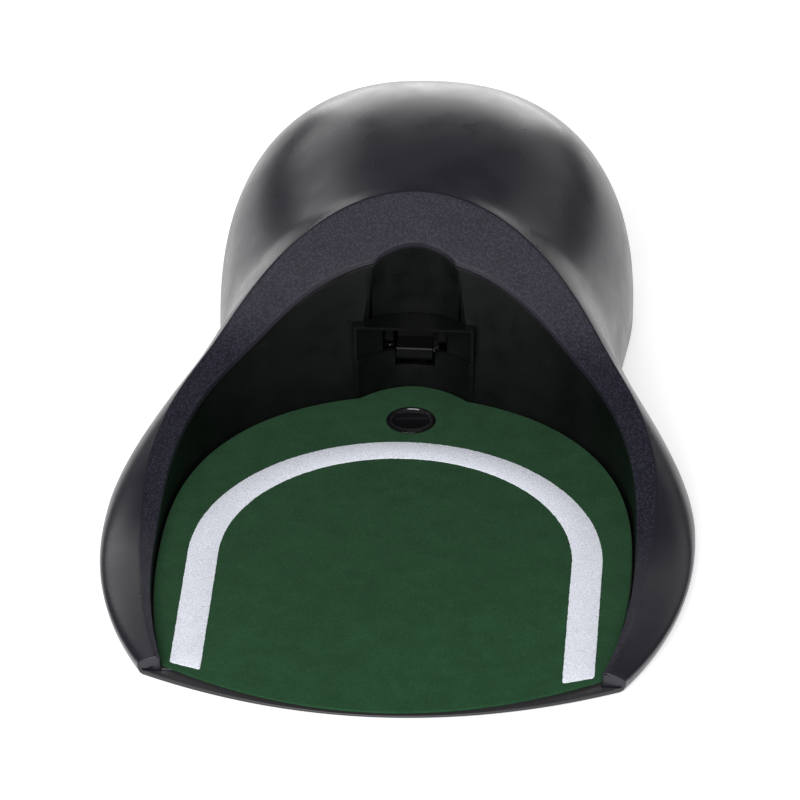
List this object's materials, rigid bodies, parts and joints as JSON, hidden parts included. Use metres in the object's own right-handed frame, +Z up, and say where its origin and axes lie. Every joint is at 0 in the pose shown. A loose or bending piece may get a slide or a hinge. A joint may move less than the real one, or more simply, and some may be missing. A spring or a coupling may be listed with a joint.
{
  "type": "automatic putting cup",
  "caption": "Hooded ball-return putting cup: felt ramp with a white U line, trigger dish and sprung kicker under a domed shell.",
  "frame": {"origin": "middle of the footprint, on the floor", "axes": "+Z up, -Y towards the player and the ramp's lip, +X to the player's right"},
  "size_m": [0.2448, 0.412, 0.109],
  "materials": {
    "housing": "fine moulded grain, satin black",
    "cowl": "smooth satin black",
    "base": "matt black",
    "felt": "green flocked felt",
    "line": "white print on flock",
    "dish": "polished black",
    "kicker": "semi-gloss black",
    "rubber": "matt black rubber",
    "steel": "bright zinc",
    "spring": "spring wire",
    "brass": "machined",
    "gear": "dark acetal",
    "frame": "matt grey",
    "switch": "matt black",
    "cell": "printed cell jacket",
    "contact": "nickel plated strip"
  },
  "bodies": {
    "housing": {"upper_housing": "housing", "inner_cowl": "cowl", "ramp_deck": "base", "felt_pad": "felt", "guide_line": "line", "base_plate": "base", "trigger_spring": "spring", "microswitch": "switch", "kicker_shaft": "steel", "kicker_spring": "spring", "motor": "steel", "cam_shaft": "steel", "second_shaft": "steel", "first_shaft": "steel", "gearbox_side_left": "frame", "gearbox_side_right": "frame", "battery_box": "base", "contact_front": "contact", "contact_rear": "contact", "power_switch": "switch", "foot_front_right": "rubber", "foot_front_left": "rubber", "foot_rear_right": "rubber", "foot_rear_left": "rubber", "base_screw_1": "steel", "base_screw_2": "steel", "base_screw_3": "steel", "base_screw_4": "steel", "base_screw_5": "steel", "base_screw_6": "steel", "cell_1": "cell", "cell_2": "cell", "cell_3": "cell", "cell_4": "cell"},
    "trigger": {"trigger_dish": "dish"},
    "lever": {"switch_lever": "contact"},
    "kicker": {"kicker": "kicker"},
    "cam": {"cam_gear": "gear"},
    "second": {"second_gear": "gear"},
    "first": {"first_gear": "gear"},
    "pinion": {"motor_pinion": "brass"},
    "door": {"battery_door": "base"},
    "slider": {"switch_slider": "switch"}
  },
  "joints": [
    {"name": "trigger_press", "type": "slide", "parent": "housing", "child": "trigger", "axis": [0, 0, 1], "range_m": [-0.002, 0], "stiffness_N_per_m": 100, "springref_m": 0.001, "deforming": ["trigger_spring"]},
    {"name": "lever_dip", "type": "hinge", "parent": "housing", "child": "lever", "pos_m": [0, 0.043, 0.0073], "axis": [1, 0, 0], "range_deg": [0, 3.6]},
    {"name": "cam_turn", "type": "hinge", "parent": "housing", "child": "cam", "pos_m": [0, 0.062, 0.0346], "axis": [-1, 0, 0], "range_deg": [0, 300]},
    {"name": "kicker_swing", "type": "hinge", "parent": "housing", "child": "kicker", "pos_m": [0, 0.0346, 0.0433], "axis": [1, 0, 0], "range_deg": [0, 30], "stiffness_Nm_per_rad": 0.06, "springref_deg": -14.32, "deforming": ["kicker_spring"]},
    {"name": "second_turn", "type": "hinge", "parent": "housing", "child": "second", "pos_m": [0, 0.08361, 0.02673], "axis": [-1, 0, 0], "range_deg": [-1080, 0]},
    {"name": "first_turn", "type": "hinge", "parent": "housing", "child": "first", "pos_m": [0, 0.10331, 0.02326], "axis": [-1, 0, 0], "range_deg": [0, 3240]},
    {"name": "pinion_turn", "type": "hinge", "parent": "housing", "child": "pinion", "pos_m": [0, 0.11331, 0.04058], "axis": [-1, 0, 0], "range_deg": [-9720, 0]},
    {"name": "door_release", "type": "slide", "parent": "housing", "child": "door", "axis": [0, 0, -1], "range_m": [0, 0.03]},
    {"name": "power_slide", "type": "slide", "parent": "housing", "child": "slider", "axis": [1, 0, 0], "range_m": [0, 0.004]}
  ],
  "couplings": [
    {"joint": "lever_dip", "follows": "trigger_press", "rad_per_m": -30.303},
    {"joint": "kicker_swing", "follows": "cam_turn", "ratio": 0.1},
    {"joint": "second_turn", "follows": "cam_turn", "ratio": -3.6},
    {"joint": "first_turn", "follows": "cam_turn", "ratio": 10.8},
    {"joint": "pinion_turn", "follows": "cam_turn", "ratio": -32.4}
  ]
}
